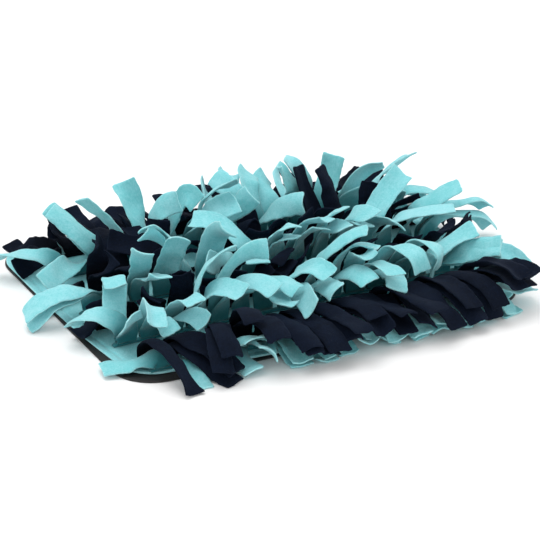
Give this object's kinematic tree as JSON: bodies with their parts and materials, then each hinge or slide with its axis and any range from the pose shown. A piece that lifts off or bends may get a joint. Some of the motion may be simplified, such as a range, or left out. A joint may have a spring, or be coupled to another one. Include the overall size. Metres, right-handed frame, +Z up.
{
  "type": "snuffle mat",
  "caption": "Flat foraging mat for pets: rounded rectangular fleece ground on a dark backing, covered by rows of loose fleece fringe strips in two colours.",
  "frame": {"origin": "middle of the backing's underside, on the floor", "axes": "+X along the mat's long side, +Y from its front to its back, +Z up"},
  "size_m": [0.5409, 0.4148, 0.1013],
  "materials": {
    "backing": "plain matt backing cloth, near black",
    "aqua_fleece": "brushed fleece with a short matt nap, pale aqua",
    "navy_fleece": "brushed fleece with a short matt nap, dark navy"
  },
  "bodies": {
    "root": {"backing": "backing", "ground": "aqua_fleece", "fringe_row_1": "aqua_fleece", "fringe_row_2": "navy_fleece", "fringe_row_3": "aqua_fleece", "fringe_row_4": "navy_fleece", "fringe_row_5": "aqua_fleece", "fringe_row_6": "navy_fleece", "fringe_row_7": "aqua_fleece", "fringe_row_8": "navy_fleece"}
  },
  "joints": []
}
